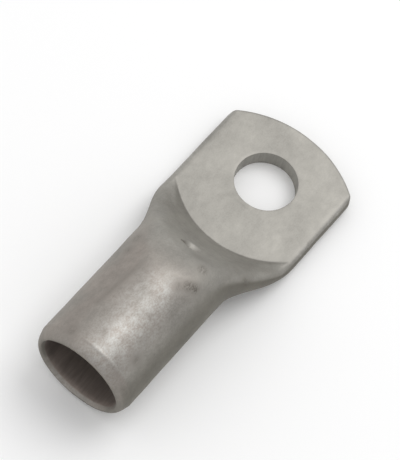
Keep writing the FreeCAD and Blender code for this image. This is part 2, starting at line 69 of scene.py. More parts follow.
print("the mouth is at", MOUTH.round(2), "and the tip at", TIP.round(2), "mm from the hole's middle")
print("the tube's outside radius is", TUBE_RADIUS.round(2), "and its wall", WALL.round(2), "mm")

# %% [markdown]
# ## The camera
#
# A camera is a place, a direction and a lens. The photograph was taken from well above the mouth's side
# with a long lens, so the far edges are almost parallel. `to_track_quat` turns a camera to look along a
# direction with the horizon level, and one more turn about its own axis tilts the picture. Setting these
# four values by hand is quick, but a fit to the hole's and the mouth's rims is what gave them here.

# %% The camera at the photograph's angle
CAMERA_PLACE = Vector((-0.207507, -0.084456, 0.411546))
CAMERA_AIM = Vector((-0.017608, 0.003247, 0.0043))
CAMERA_TILT = 15.27
CAMERA_LENS = 179.74

camera = bpy.data.objects.new("camera", bpy.data.cameras.new("camera"))
bpy.context.scene.collection.objects.link(camera)
bpy.context.scene.camera = camera
camera.data.lens = CAMERA_LENS
level = (CAMERA_AIM - CAMERA_PLACE).to_track_quat("-Z", "Y")
camera.rotation_mode = "QUATERNION"
camera.rotation_quaternion = level @ Quaternion((0, 0, 1), math.radians(CAMERA_TILT))
camera.location = CAMERA_PLACE
print("the camera is", round((CAMERA_AIM - CAMERA_PLACE).length, 3), "m from the palm")

# %% [markdown]
# ## The floor
#
# The lug lies on plain white. That could be a curved backdrop, but from this high a large disc fills the
# picture by itself. Its white is the paint's own colour under the studio's light, and the paint is matt,
# so that the floor takes the lug's soft shadow and shows no reflection.

# %% A matt white disc
FLOOR_RADIUS = 3.0
FLOOR_CORNERS = 96
FLOOR_WHITE = (0.96, 0.96, 0.96, 1)
FLOOR_ROUGHNESS = 0.9


def add_mesh(name, points, faces):
    """A mesh object from an array of points, in metres, and a list of the points of each face."""
    mesh = bpy.data.meshes.new(name)
    mesh.from_pydata(points.tolist(), [], faces)
    mesh.update()
    thing = bpy.data.objects.new(name, mesh)
    bpy.context.scene.collection.objects.link(thing)
    return thing


turn = np.linspace(0, 2 * np.pi, FLOOR_CORNERS, endpoint=False)
rim = np.stack([FLOOR_RADIUS * np.cos(turn), FLOOR_RADIUS * np.sin(turn), 0 * turn], axis=1)
floor = add_mesh("floor", rim, [list(range(FLOOR_CORNERS))])
paint = bpy.data.materials.new("floor_white")
paint.use_nodes = True
floor_shader = paint.node_tree.nodes["Principled BSDF"]
floor_shader.inputs["Base Color"].default_value = FLOOR_WHITE
floor_shader.inputs["Roughness"].default_value = FLOOR_ROUGHNESS
floor_shader.inputs["Specular IOR Level"].default_value = 0.0
floor.data.materials.append(paint)
bpy.context.scene.view_settings.view_transform = "Standard"
print("the floor is", 2 * FLOOR_RADIUS, "m across")

# %% [markdown]
# ## The sky
#
# Satin metal shows its surroundings, blurred, so most of the light is surroundings. An even sky would
# leave the lug flat. This one is bright overhead, greyer towards the horizon, and greyest beyond the
# lug's shaded flank. A colour ramp holds the greys, and it is read along one leaning direction: the dot
# product of the way a ray points with a lean.

# %% A leaning grey sky
SKY_GREYS = ((0.0, 0.42), (0.5, 0.68), (0.95, 0.9))
SKY_LEAN = (0.0, 0.3, 0.65)
SKY_MIDDLE = 0.3

world = bpy.data.worlds.new("studio")
world.use_nodes = True
bpy.context.scene.world = world
tree = world.node_tree
direction = tree.nodes.new("ShaderNodeTexCoord")
leaning = tree.nodes.new("ShaderNodeVectorMath")
leaning.operation = "DOT_PRODUCT"
leaning.inputs[1].default_value = SKY_LEAN
lifted = tree.nodes.new("ShaderNodeMath")
lifted.inputs[1].default_value = SKY_MIDDLE
ramp = tree.nodes.new("ShaderNodeValToRGB")
ramp.color_ramp.elements.new(SKY_GREYS[1][0])
for element, (height, grey) in zip(ramp.color_ramp.elements, SKY_GREYS):
    element.position = height
    element.color = (grey, grey, grey, 1)
tree.links.new(direction.outputs["Generated"], leaning.inputs[0])
tree.links.new(leaning.outputs["Value"], lifted.inputs[0])
tree.links.new(lifted.outputs[0], ramp.inputs["Fac"])
tree.links.new(ramp.outputs["Color"], tree.nodes["Background"].inputs["Color"])
print("the sky goes from grey", SKY_GREYS[0][1], "to", SKY_GREYS[-1][1])

# %% [markdown]
# ## The lamp
#
# The sky alone gives no highlight. One broad lamp, high up beyond the palm, adds the bright strip along
# the barrel, which a painted highlight in the colour makes stronger, and the soft shadow beside it. A disc
# nearly as wide as it is far off keeps both of them soft, where a small lamp would draw a hard line on the
# metal.

# %% One broad lamp
LAMP_SIZE = 0.7
LAMP_POWER = 3.0
LAMP_PLACE = Vector((0.42, -0.15, 0.85))

lamp_data = bpy.data.lights.new("overhead", "AREA")
lamp_data.shape = "DISK"
lamp_data.size = LAMP_SIZE
lamp_data.energy = LAMP_POWER
lamp = bpy.data.objects.new("overhead", lamp_data)
lamp.location = LAMP_PLACE
lamp.rotation_mode = "QUATERNION"
lamp.rotation_quaternion = (CAMERA_AIM - LAMP_PLACE).to_track_quat("-Z", "Y")
bpy.context.scene.collection.objects.link(lamp)
print("the lamp is", LAMP_SIZE, "m across and", round((CAMERA_AIM - LAMP_PLACE).length, 2), "m away")

# %% [markdown]
# ## How the tube is squeezed
#
# The real lug is a tube that a press squeezes flat at one end. Its surface could be modelled by hand with
# loops, but a formula is truer: a field, which is a number for every place, negative inside the metal and
# positive outside. Its first ingredient is how wide and how high the tube is at each place along the lug.
# The outside sinks a little later than it widens, so that it is the die that makes the palm's flat, and
# the crease runs out at the palm's sides in one line.

# %% The tube's width and height
SPREAD_START, SPREAD_END = -29.8, -11.6
SINKING_END, SINKING_LAG = -9.4, 0.11
SPREAD_BELLY = 1.25
SLIT_GAP = 0.3
PRESS_TRAVEL = 0.5
PRESSED_HEIGHT = PALM_THICKNESS + PRESS_TRAVEL


def smooth(value, start, end):
    """A ramp from 0 at start to 1 at end with gentle ends: 3s^2 - 2s^3, where s is the share of the way."""
    share = np.clip((value - start) / (end - start), 0, 1)
    return share * share * (3 - 2 * share)


def tube_size(x, inside):
    """Width, height and middle height of the section at x, of the tube's inside or its outside.

    Both sizes go from the diameter to the palm's as the smooth ramp goes. The width has an extra belly,
    greatest half way: 4 times the ramp times what is left of it. The outside's height follows a longer
    ramp, or the width's less the lag, whichever is further on.
    """
    pressed = smooth(x, SPREAD_START, SPREAD_END)
    if inside:
        sunk = pressed
        wall, last_height = WALL, SLIT_GAP
    else:
        sunk = np.maximum(smooth(x, SPREAD_START, SINKING_END), pressed - SINKING_LAG)
        wall, last_height = 0.0, PRESSED_HEIGHT
    diameter = 2 * (TUBE_RADIUS - wall)
    last_width = 2 * (PALM_HALF - wall)
    belly = SPREAD_BELLY * 4 * pressed * (1 - pressed)
    width = diameter * (1 - pressed) + last_width * pressed + belly
    height = diameter * (1 - sunk) + last_height * sunk
    middle = (2 * TUBE_RADIUS * (1 - sunk) + PRESSED_HEIGHT * sunk) / 2
    return width, height, middle


half_way = tube_size((SPREAD_START + SPREAD_END) / 2, False)
print("half way, the tube is", half_way[0].round(1), "mm wide and", half_way[1].round(1), "mm high")

# %% [markdown]
# ## The tube's section
#
# A squeezed tube is a circle at the barrel and then an oval, for which four arcs that meet smoothly are a
# good likeness, since metal tube bends in arcs. At the palm its section is a slab whose sides stand out
# in a shallow arc. The field blends from one to the other over the last few millimetres.

# %% An oval of four arcs that turns into a slab
OVAL_SHARE = math.tan(math.radians(22.5))
SIDE_BULGE = 1.3
FLATTENING_LENGTH = 6.0


def oval_arcs(width, height):
    """Side radius, top radius and top half turn of the four-arc oval that fills width by height.

    Half of the top arc's half turn has the tangent OVAL_SHARE times height over width. That makes it 45
    degrees on a circle, and less on a flat oval. The radii follow, because the arcs meet in one tangent.
    """
    half_turn = OVAL_SHARE * height / width
    side = height * (1 - OVAL_SHARE) / (2 - 2 * half_turn)
    top = side + (width - height) / 2 * (1 + half_turn**2) / (2 * half_turn * (1 - half_turn))
    return side, top, 2 * np.arctan(half_turn)


def slab_field(y, z):
    """Distance to the flattened section: to its flat faces, or to the arc that each side stands out in."""
    half = PRESSED_HEIGHT / 2
    bulge_radius = (half**2 + SIDE_BULGE**2) / (2 * SIDE_BULGE)
    past_middle = np.maximum(np.abs(y) - (PALM_HALF - bulge_radius), 0)
    return np.maximum(np.abs(z - half) - half, np.hypot(past_middle, z - half) - bulge_radius)


def tube_field(x, y, z, inside=False):
    """Distance to the squeezed tube: to its oval's nearest arc, and near the palm to the slab instead."""
    width, height, middle = tube_size(x, inside)
    side, top, turned = oval_arcs(width, height)
    out, up = np.abs(y), np.abs(z - middle)
    sideways = out - (width / 2 - side)
    to_side = np.hypot(sideways, up) - side
    to_top = np.hypot(out, up - (height / 2 - top)) - top
    oval = np.where(np.arctan2(sideways, up) > turned, to_side, to_top)
    if inside:
        return oval
    flat = smooth(x, SINKING_END - FLATTENING_LENGTH, SINKING_END)
    return oval * (1 - flat) + slab_field(y, z) * flat


side_radius, top_radius, _ = oval_arcs(*half_way[:2])
print("half way, the oval's arcs have radii of", side_radius.round(1), "and", top_radius.round(1), "mm")

# %% [markdown]
# ## The press die
#
# The die that flattens the tube has a round nose, seen from above. It leaves the flat round the hole, the
# curved crease behind it, a straight slope, and a large arc that runs out on top of the barrel. All of
# that is one profile turned about the nose's middle, so it is a height by distance from there.

# %% The die's underside
NOSE_MIDDLE, NOSE_RADIUS = 2.0, 19.6
SLOPE = math.radians(50)
CREASE_RADIUS, LEAD_RADIUS = 0.6, 13.0
LEAD_RISE = 0.06
CREASE_START = NOSE_RADIUS - CREASE_RADIUS * math.tan(SLOPE / 2)
CREASE_END = CREASE_START + CREASE_RADIUS * math.sin(SLOPE)
arc_rise = 1 - math.cos(SLOPE)
lead_top = 2 * TUBE_RADIUS + LEAD_RISE
straight_rise = lead_top - LEAD_RADIUS * arc_rise - PALM_THICKNESS - CREASE_RADIUS * arc_rise
LEAD_START = CREASE_END + straight_rise / math.tan(SLOPE)
LEAD_END = LEAD_START + LEAD_RADIUS * math.sin(SLOPE)


def die_height(reach):
    """Height and slope of the die's underside, by distance from the nose's middle.

    The height is the palm's, plus what the crease's arc, the straight slope and the lead's arc have each
    risen by then. An arc's slope is its run from the flat over its depth below the arc's centre.
    """
    into_crease = np.clip(reach - CREASE_START, 0, CREASE_END - CREASE_START)
    on_slope = np.clip(reach - CREASE_END, 0, LEAD_START - CREASE_END)
    to_end = np.clip(LEAD_END - reach, 0, LEAD_END - LEAD_START)
    crease_depth = np.sqrt(CREASE_RADIUS**2 - into_crease**2)
    lead_depth = np.sqrt(LEAD_RADIUS**2 - to_end**2)
    in_crease = CREASE_RADIUS - crease_depth
    in_lead = lead_depth - LEAD_RADIUS * math.cos(SLOPE)
    height = PALM_THICKNESS + in_crease + on_slope * math.tan(SLOPE) + in_lead
    return height, np.where(reach < CREASE_END, into_crease / crease_depth, to_end / lead_depth)


def die_field(x, y, z):
    """Distance above the die's underside, square to its slope."""
    height, slope = die_height(np.hypot(x - NOSE_MIDDLE, y))
    return (z - height) / np.sqrt(1 + slope**2)


print("from the nose's middle, the crease is at", round(CREASE_START, 2), "mm")
print("and the slope goes from", round(CREASE_END, 2), "to", LEAD_END.round(2), "mm")

# %% [markdown]
# ## The rolled mouth and the sight dimple
#
# Two small features come before the whole. The mouth's outer edge is rolled in, over a low ridge that the
# roller leaves behind it. On the slope, a ball has punched a dimple, which shows the fitter how far the
# cable goes in. Each is a formula of its own, a drop for the mouth and a ball's field for the dimple.

# %% A drop at the mouth, and a ball
MOUTH_ROLL, MOUTH_DROP = 3.9, 1.5
RIDGE_PLACE, RIDGE_HEIGHT, RIDGE_WIDTH = 2.6, 0.08, 0.35
DIMPLE_PLACE, DIMPLE_RADIUS, DIMPLE_DEPTH = -26.0, 1.8, 1.15
BALL_RADIUS = (DIMPLE_RADIUS**2 + DIMPLE_DEPTH**2) / (2 * DIMPLE_DEPTH)


def mouth_drop(x):
    """How far the outer edge is rolled in: by a quarter of an ellipse, less the bell-shaped ridge."""
    share = np.clip((MOUTH + MOUTH_ROLL - x) / MOUTH_ROLL, 0, 1)
    ridge = RIDGE_HEIGHT * np.exp(-((x - MOUTH - RIDGE_PLACE) / RIDGE_WIDTH)**2)
    return MOUTH_DROP * (1 - np.sqrt(1 - share**2)) - ridge


def dimple_field(x, y, z):
    """Distance inside the ball, whose middle stands off the slope, square to it, by radius less depth."""
    on_slope, _ = die_height(np.float64(NOSE_MIDDLE - DIMPLE_PLACE))
    off = BALL_RADIUS - DIMPLE_DEPTH
    along = x - DIMPLE_PLACE - off * math.sin(SLOPE)
    above = z - on_slope - off * math.cos(SLOPE)
    return BALL_RADIUS - np.sqrt(along**2 + y**2 + above**2)


print("the dimple's ball has a radius of", round(BALL_RADIUS, 2), "mm")

# %% [markdown]
# ## The pressed lug as one field
#
# Metal is where the tube is and the die isn't, which is the larger of their two fields. A plain maximum
# would leave sharp joints, and a bevel of one width would look machined. A smooth maximum takes a
# softness that may differ from place to place: wide on the shoulder and the flanks, narrow at the crease
# and almost none on top of the barrel, where the die only just touches.

# %% Joining the tube, the die and the dimple
SHOULDER_SOFTNESS, FLANK_SOFTNESS = 3.2, 5.0
EDGE_SOFTNESS, TOP_SOFTNESS = 0.9, 0.15
DIMPLE_SOFTNESS, HOLLOW_SOFTNESS = 0.15, 0.4
SOFTENING_RISE = 3.5
TOP_FADE = (-31, -37)
FLANK_ACROSS = (5, 11)
FLANK_FADE = (-22, -16)
EDGE_RAMP = (-30, -22)


def smooth_max(first, second, softness):
    """The larger of two fields, plus a quarter of their overlap squared over the softness.

    The overlap is how much closer together they are than the softness.
    """
    overlap = np.maximum(softness - np.abs(first - second), 0)
    return np.maximum(first, second) + overlap**2 / (4 * softness)


def joint_softness(x, y):
    """Softness of the joint between tube and die, in mm: from least to most as the die's slope rises."""
    height, _ = die_height(np.hypot(x - NOSE_MIDDLE, y))
    on_slope = smooth(height, PALM_THICKNESS, PALM_THICKNESS + SOFTENING_RISE) * (1 - smooth(x, *TOP_FADE))
    on_flank = smooth(np.abs(y), *FLANK_ACROSS) * (1 - smooth(x, *FLANK_FADE))
    most = SHOULDER_SOFTNESS + (FLANK_SOFTNESS - SHOULDER_SOFTNESS) * on_flank
    least = TOP_SOFTNESS + (EDGE_SOFTNESS - TOP_SOFTNESS) * smooth(x, *EDGE_RAMP)
    return least + (most - least) * on_slope


def skin_field(x, y, z):
    """The outside: the tube with its rolled mouth, less the die's space, less the dimple's ball."""
    tube = tube_field(x, y, z) + mouth_drop(x)
    pressed = smooth_max(tube, die_field(x, y, z), joint_softness(x, y))
    return smooth_max(pressed, dimple_field(x, y, z), DIMPLE_SOFTNESS)


def hollow_field(x, y, z):
    """The hollow inside: the bore, with its roof a wall's thickness under the die."""
    return smooth_max(tube_field(x, y, z, inside=True), die_field(x, y, z) + WALL, HOLLOW_SOFTNESS)


in_wall = skin_field((MOUTH + SPREAD_START) / 2, TUBE_RADIUS - WALL / 2, TUBE_RADIUS)
print("in the middle of the barrel's wall, the outside's field is", in_wall.round(2))

# %% [markdown]
# ## Walking out to the surface
#
# Each point of the mesh lies on a ray that starts inside the metal. Going round a section, the rays fan
# out from the oval's two side centres and stand nearly upright between them, so that the points stay
# evenly spaced while the section goes from round to flat. Blender could remesh a field's volume instead,
# but rays put the points in rows that follow the form. Halving the step forty times finds the surface for
# all rays at once.

# %% Rays that fan out round a section
TOP_CELLS, SIDE_CELLS = 88, 44
HALVINGS = 40
TOP, NEAR_SIDE, BOTTOM, FAR_SIDE = 0, 1, 2, 3


def fan():
    """Place across, quarter, and share of the quarter's turn of each ray.

    Over the top and the bottom the place goes evenly from one side centre, 1, to the other, -1. Round a
    side it stays, and the share goes evenly from 0 to 1.
    """
    across = np.linspace(1, -1, TOP_CELLS, endpoint=False)
    fanned = np.linspace(0, 1, SIDE_CELLS, endpoint=False)
    place = np.concatenate([across, -np.ones(SIDE_CELLS), -across, np.ones(SIDE_CELLS)])
    quarter = np.repeat([TOP, NEAR_SIDE, BOTTOM, FAR_SIDE], [TOP_CELLS, SIDE_CELLS, TOP_CELLS, SIDE_CELLS])
    share = np.concatenate([across, fanned, -across, fanned])
    return place, quarter, share


def walk(field, x, y, z, out, up, longest):
    """Where each ray from (x, y, z) along (0, out, up) leaves a field.

    The middle of the stretch still in question is tried, and becomes its near end where it is inside and
    its far end where it is not.
    """
    near, far = np.zeros_like(x), np.full_like(x, longest)
    for _ in range(HALVINGS):
        middle = (near + far) / 2
        inside = field(x, y + middle * out, z + middle * up) < 0
        near, far = np.where(inside, middle, near), np.where(inside, far, middle)
    return np.stack([x, y + near * out, z + near * up], axis=-1)


print("a section has", len(fan()[0]), "rays")

# %% [markdown]
# ## Rows that follow the crease
#
# The crease is a curved line, and a mesh shows it crisply only where its rows run along it. So the rows on
# top bend to the crease's arc as they come near it, and straighten again before the hole, where the
# tube's sheet ends. Underneath, where there is no crease, they stay straight.

# %% Where each ray starts and points
JOIN_MARGIN = 1.0
JOIN = -(HOLE_RADIUS + JOIN_MARGIN)
CREASE_ROW = NOSE_MIDDLE - NOSE_RADIUS
BOW_START, BOW_FULL = SPREAD_START - 2, CREASE_ROW - 2.5
RIM_SHARE = 0.985


def bowed(rows, across):
    """Rows moved on by the arc's depth at that place across, as far as the ramps before and after allow."""
    arc = NOSE_RADIUS - np.sqrt(NOSE_RADIUS**2 - across**2)
    before = smooth(rows, BOW_START, BOW_FULL)
    after = np.clip((JOIN - rows) / (JOIN - CREASE_ROW), 0, 1)
    return rows + arc * before * after


def bent_rows(rows, place, quarter, share):
    """Each ray's place along the lug: bowed on top, straight underneath, and turning over on the sides."""
    width, _, _ = tube_size(rows, False)
    across = np.clip(width / 2 * place * RIM_SHARE, -PALM_HALF, PALM_HALF)
    facing_up = np.select(
        [quarter == TOP, quarter == NEAR_SIDE, quarter == FAR_SIDE],
        [np.ones_like(share), 1 - share, share],
    )
    return rows + (bowed(rows, across) - rows) * facing_up


def section_rays(rows, inside):
    """Start and direction of each ray, for all rows along the lug and the fan around each.

    A ray starts between the oval's side centres, half way up from its lowest line to the die or the
    oval's top, whichever is lower. Its angle from upright grows evenly round each quarter.
    """
    place, quarter, share = fan()
    x = rows[:, None] + 0 * place[None]
    if not inside:
        x = bent_rows(x, place, quarter, share)
    width, height, middle = tube_size(x, inside)
    side, _, turned = oval_arcs(width, height)
    start_y = (width / 2 - side) * place
    if inside:
        roof, slope = die_height(np.abs(x - NOSE_MIDDLE))
        roof = roof - WALL * np.sqrt(1 + slope**2)
    else:
        roof, _ = die_height(np.hypot(x - NOSE_MIDDLE, start_y))
    lowest = middle - height / 2
    start_z = (np.minimum(roof, lowest + height) + lowest) / 2
    spread = np.pi - 2 * turned
    angle = np.select(
        [quarter == TOP, quarter == NEAR_SIDE, quarter == BOTTOM],
        [turned * share, -turned - spread * share, np.pi + turned * -share],
        np.pi - turned - spread * share,
    )
    return x, start_y, start_z, np.sin(angle), np.cos(angle)


print("the crease's row is at", round(CREASE_ROW, 2), "mm and the last row at", JOIN, "mm")

# %% [markdown]
# ## The outside's sheet
#
# The closed skin is sewn from three sheets that share their border points. The first one starts with the
# tube's outside, from the mouth to a line just before the hole. Its rows lie closest where the form turns
# fastest: round the rolled mouth and across the crease. Evenly spaced rows would take four times as many
# points for an equally crisp crease.

# %% Rows along the outside
BARREL_END = -38
CREASE_BEFORE, CREASE_AFTER = 2, 0.8
ROLL_ROWS, ROLL_FIRST_TURN = 28, 0.02
BARREL_STEP, SHOULDER_STEP, SLOPE_STEP, CREASE_STEP, PALM_STEP = 0.8, 0.4, 0.28, 0.08, 0.5
LONGEST_OUT = 30.0


def steps(start, end, size):
    """Evenly spaced places from start up to, and without, end, about size apart."""
    return np.linspace(start, end, max(2, round(abs(end - start) / size)), endpoint=False)


roll_turn = np.linspace(ROLL_FIRST_TURN, np.pi / 2, ROLL_ROWS, endpoint=False)
outside_rows = np.concatenate([
    MOUTH + MOUTH_ROLL * (1 - np.cos(roll_turn)),
    steps(MOUTH + MOUTH_ROLL, BARREL_END, BARREL_STEP),
    steps(BARREL_END, SPREAD_START, SHOULDER_STEP),
    steps(SPREAD_START, CREASE_ROW - CREASE_BEFORE, SLOPE_STEP),
    steps(CREASE_ROW - CREASE_BEFORE, CREASE_ROW + CREASE_AFTER, CREASE_STEP),
    steps(CREASE_ROW + CREASE_AFTER, JOIN, PALM_STEP),
    [JOIN],
])
outside_rays = section_rays(outside_rows, False)
outside = walk(skin_field, *outside_rays, LONGEST_OUT)
print("the outside has", outside.shape[0], "rows of", outside.shape[1], "points")
print("it reaches from", outside.min((0, 1)).round(2), "to", outside.max((0, 1)).round(2))

# %% [markdown]
# ## The lip
#
# Between outside and bore lies the tube's sawn end, a narrow lip with a slightly rounded face, and a small
# bevel that leads the strands in. Both are turned forms: rings of points whose radius and place follow a
# profile. The rings have their points where the outside's rays meet them, so the two sew together.

# %% Rings round the mouth
LIP_ROUNDING = 0.05
LIP_POINTS, BEVEL_POINTS = 8, 6
LIP_BEVEL, LIP_WIDENING, BEVEL_CURVE = 1.0, 0.5, 0.8


def ring(x, radius):
    """Round rings of the tube: at each x, the axis plus radius times the direction of each ray."""
    _, _, _, out, up = section_rays(np.full(len(x), MOUTH), False)
    return np.stack([
        np.repeat(x[:, None], out.shape[1], axis=1),
        radius[:, None] * out,
        TUBE_RADIUS + radius[:, None] * up,
    ], axis=-1)


inner_lip, outer_lip = BORE_RADIUS + LIP_WIDENING, TUBE_RADIUS - MOUTH_DROP
lip_turn = np.linspace(0, np.pi, LIP_POINTS)[1:-1]
lip_x = MOUTH + LIP_ROUNDING - LIP_ROUNDING * np.sin(lip_turn)
lip_radius = (outer_lip + inner_lip) / 2 + (outer_lip - inner_lip) / 2 * np.cos(lip_turn)
bevel = np.linspace(0, 1, BEVEL_POINTS)[1:-1]
bevel_x = MOUTH + LIP_BEVEL * bevel
bevel_radius = inner_lip - LIP_WIDENING * bevel**BEVEL_CURVE
lip = ring(np.concatenate([lip_x, bevel_x]), np.concatenate([lip_radius, bevel_radius]))
print("the lip is", round(outer_lip - inner_lip, 2), "mm wide, in", len(lip), "rings")

# %% [markdown]
# ## The bore
#
# The bore is seen through the mouth, so it needs a true surface, with the closing roof that stops the
# cable. It is found as the outside was, in a field of its own, and its last ring is closed by a small cap.
# Bore, lip and outside together are the first sheet.

# %% The bore, and the whole tube's sheet
HOLLOW_END, CAP_DEPTH, CAP_POINTS = -20.6, 0.9, 6
BORE_STEP, CLOSING_STEP = 1.1, 0.6
LONGEST_IN = 20.0

hollow_rows = np.concatenate([
    steps(MOUTH + LIP_BEVEL, BARREL_END, BORE_STEP),
    steps(BARREL_END, HOLLOW_END, CLOSING_STEP),
    [HOLLOW_END],
])
hollow_rays = section_rays(hollow_rows, True)
hollow = walk(hollow_field, *hollow_rays, LONGEST_IN)
last_start = np.stack(hollow_rays[:3], axis=-1)[-1]
closing = np.linspace(0, np.pi / 2, CAP_POINTS)[1:, None, None]
drawn_in = (hollow[-1] - last_start) * np.cos(closing)
end_cap = last_start + drawn_in + np.array([CAP_DEPTH, 0, 0]) * np.sin(closing)
tube_sheet = np.concatenate([end_cap[::-1], hollow[::-1], lip[::-1], outside])
bore_rows = len(end_cap) + len(hollow)
print("the tube's sheet has", tube_sheet.shape[0], "rows, of which", bore_rows, "are the bore's")

# %% [markdown]
# ## The palm's rim
#
# The sides of the palm keep the shallow bulge of the squeezed tube, but its end was cropped, so there the
# rim is square with softened corners. The second sheet is a profile carried along a path: the path is the
# palm's outline, and the profile goes from bulged to square as the path turns round the corner.

# %% A path round the palm's end
END_RADIUS, CORNER_RADIUS = 25.0, 2.6
SIDE_POINTS, CORNER_POINTS, END_POINTS = 30, 14, 42
CROP_FADE = 0.1


def palm_path():
    """From the join, round the cropped end and back: places, outward directions, and share cropped.

    A straight side, a corner's arc and the end's large arc, then the same mirrored, each point with the
    angle that it faces. The share cropped is a smooth ramp of that angle over the corner.
    """
    corner_y = PALM_HALF - CORNER_RADIUS
    corner_x = TIP - END_RADIUS + math.sqrt((END_RADIUS - CORNER_RADIUS)**2 - corner_y**2)
    turned = math.atan2(corner_y, corner_x - (TIP - END_RADIUS))
    side = np.linspace(JOIN, corner_x, SIDE_POINTS, endpoint=False)
    corner = np.linspace(np.pi / 2, turned, CORNER_POINTS, endpoint=False)
    end = np.linspace(turned, 0, END_POINTS)
    corner_arc = [corner_x + CORNER_RADIUS * np.cos(corner), corner_y + CORNER_RADIUS * np.sin(corner)]
    end_arc = [TIP - END_RADIUS + END_RADIUS * np.cos(end), END_RADIUS * np.sin(end)]
    places = np.concatenate([
        np.stack([side, np.full_like(side, PALM_HALF)], axis=1),
        np.stack(corner_arc, axis=1),
        np.stack(end_arc, axis=1),
    ])
    facing = np.concatenate([np.full_like(side, np.pi / 2), corner, end])
    cropped = smooth(facing, np.pi / 2 - CROP_FADE, turned + CROP_FADE)
    back = slice(-2, None, -1)
    places = np.concatenate([places, places[back] * np.array([1, -1])])
    facing = np.concatenate([facing, -facing[back]])
    directions = np.stack([np.cos(facing), np.sin(facing)], axis=1)
    return places, directions, np.concatenate([cropped, cropped[back]])


path_places, path_directions, cropped = palm_path()
print("the path round the palm has", len(path_places), "points")

# %% The rim's profile, carried along the path
CROP_EDGE = 0.6


def crop_field(x, y, z):
    """Distance to the cropped end's section: a slab with square sides and corners rounded by CROP_EDGE."""
    half = PALM_THICKNESS / 2
    corner = np.stack([y - (PALM_HALF - CROP_EDGE), np.abs(z - half) - (half - CROP_EDGE)])
    return np.hypot(*np.maximum(corner, 0)) + np.minimum(corner.max(0), 0) - CROP_EDGE


_, quarter, _ = fan()
profile = np.append(np.flatnonzero(quarter == FAR_SIDE), 0)
bulged = outside[-1][profile]
square = walk(crop_field, *(part[-1][profile] for part in outside_rays), LONGEST_OUT)
inset = PALM_HALF - (bulged[:, 1] * (1 - cropped[:, None]) + square[:, 1] * cropped[:, None])
rim_z = bulged[:, 2] * (1 - cropped[:, None]) + square[:, 2] * cropped[:, None]
rim_xy = path_places[:, None] - path_directions[:, None] * inset[..., None]
rim_sheet = np.concatenate([rim_xy, rim_z[..., None]], axis=-1)
print("the rim's sheet has", rim_sheet.shape[0], "rows of", rim_sheet.shape[1], "points")

# %% [markdown]
# ## The palm's faces and the hole
#
# The third sheet starts at the border of the palm's top face, runs in to the hole, down its wall and out
# again under the palm. A punched hole has small rounded edges and a plain wall. Cutting it out with a
# boolean would leave ragged faces round it, and here the rows simply shrink from the border to a circle.

# %% From the top face through the hole to the bottom face
HOLE_EDGE = 0.15
EDGE_POINTS, WALL_POINTS, FACE_ROWS = 5, 8, 13
EASING = 5


def palm_loop(face):
    """The closed border of the palm's top or bottom face: the rim's edge, then back along the join."""
    row = outside[-1]
    if face == "top":
        return np.concatenate([rim_sheet[:, -1], row[:TOP_CELLS + 1][::-1][1:-1]])
    bottom = row[TOP_CELLS + SIDE_CELLS:2 * TOP_CELLS + SIDE_CELLS + 1]
    return np.concatenate([rim_sheet[:, 0], bottom[1:-1]])


def hole_wall(angle):
    """The hole's wall: a quarter round at each edge and a straight wall between them, turned by angle."""
    rounding = np.linspace(0, np.pi / 2, EDGE_POINTS)
    edge = HOLE_RADIUS + HOLE_EDGE
    radius = np.concatenate([
        edge - HOLE_EDGE * np.sin(rounding),
        np.full(WALL_POINTS - 2, HOLE_RADIUS),
        edge - HOLE_EDGE * np.cos(rounding),
    ])
    height = np.concatenate([
        PALM_THICKNESS - HOLE_EDGE * (1 - np.cos(rounding)),
        np.linspace(PALM_THICKNESS - HOLE_EDGE, HOLE_EDGE, WALL_POINTS)[1:-1],
        HOLE_EDGE * (1 - np.sin(rounding)),
    ])
    circle = np.stack([np.cos(angle), np.sin(angle)], axis=1)
    return np.concatenate([
        circle[None] * radius[:, None, None],
        np.broadcast_to(height[:, None, None], (len(height), len(angle), 1)),
    ], axis=-1)


top, bottom = palm_loop("top"), palm_loop("bottom")
wall = hole_wall(np.arctan2(top[:, 1], top[:, 0]))
inward = np.linspace(0, 1, FACE_ROWS)[:-1, None, None]
on_top = top * (1 - inward) + wall[0] * inward
on_top[..., 2:] = PALM_THICKNESS + (top[:, 2:] - PALM_THICKNESS) * (1 - inward)**EASING
under = wall[-1] * inward + bottom * (1 - inward)
under[..., 2:] = bottom[:, 2:] * (1 - inward)**EASING
face_sheet = np.concatenate([on_top, wall, under[::-1]])
print("the faces' sheet has", face_sheet.shape[0], "rows of", face_sheet.shape[1], "points")

# %% [markdown]
# ## Which finish each face has
#
# The lug has three finishes: the tinned outside, the bore, and the cut metal in the hole and on the
# cropped end. They could be chosen by place, but the two sides of a thin wall lie close together. The
# rows and columns of the sheets tell them apart, so each face gets its finish's number before the sheets
# are sewn.

# %% A finish for every row and column
OUTSIDE_FINISH, BORE_FINISH, CUT_FINISH = 0, 1, 2
WALL_SHARE = 0.9
CROPPED_FROM = 0.5

in_bore = np.arange(len(tube_sheet) - 1) < bore_rows
tube_finish = np.where(in_bore, BORE_FINISH, OUTSIDE_FINISH)[:, None]
face_z = (rim_sheet[1:, 1:, 2] + rim_sheet[:-1, :-1, 2]) / 2
between_edges = (face_z > CROP_EDGE) & (face_z < PALM_THICKNESS - CROP_EDGE)
on_end = (cropped[1:, None] > CROPPED_FROM) & between_edges
rim_finish = np.where(on_end, CUT_FINISH, OUTSIDE_FINISH)
row_radius = np.hypot(face_sheet[..., 0], face_sheet[..., 1]).mean(1)
on_wall = np.maximum(row_radius[1:], row_radius[:-1]) < HOLE_RADIUS + HOLE_EDGE * WALL_SHARE
face_finish = np.where(on_wall, CUT_FINISH, OUTSIDE_FINISH)[:, None]
print("rows of cut metal in the hole:", on_wall.sum(), "and faces on the cropped end:", on_end.sum())

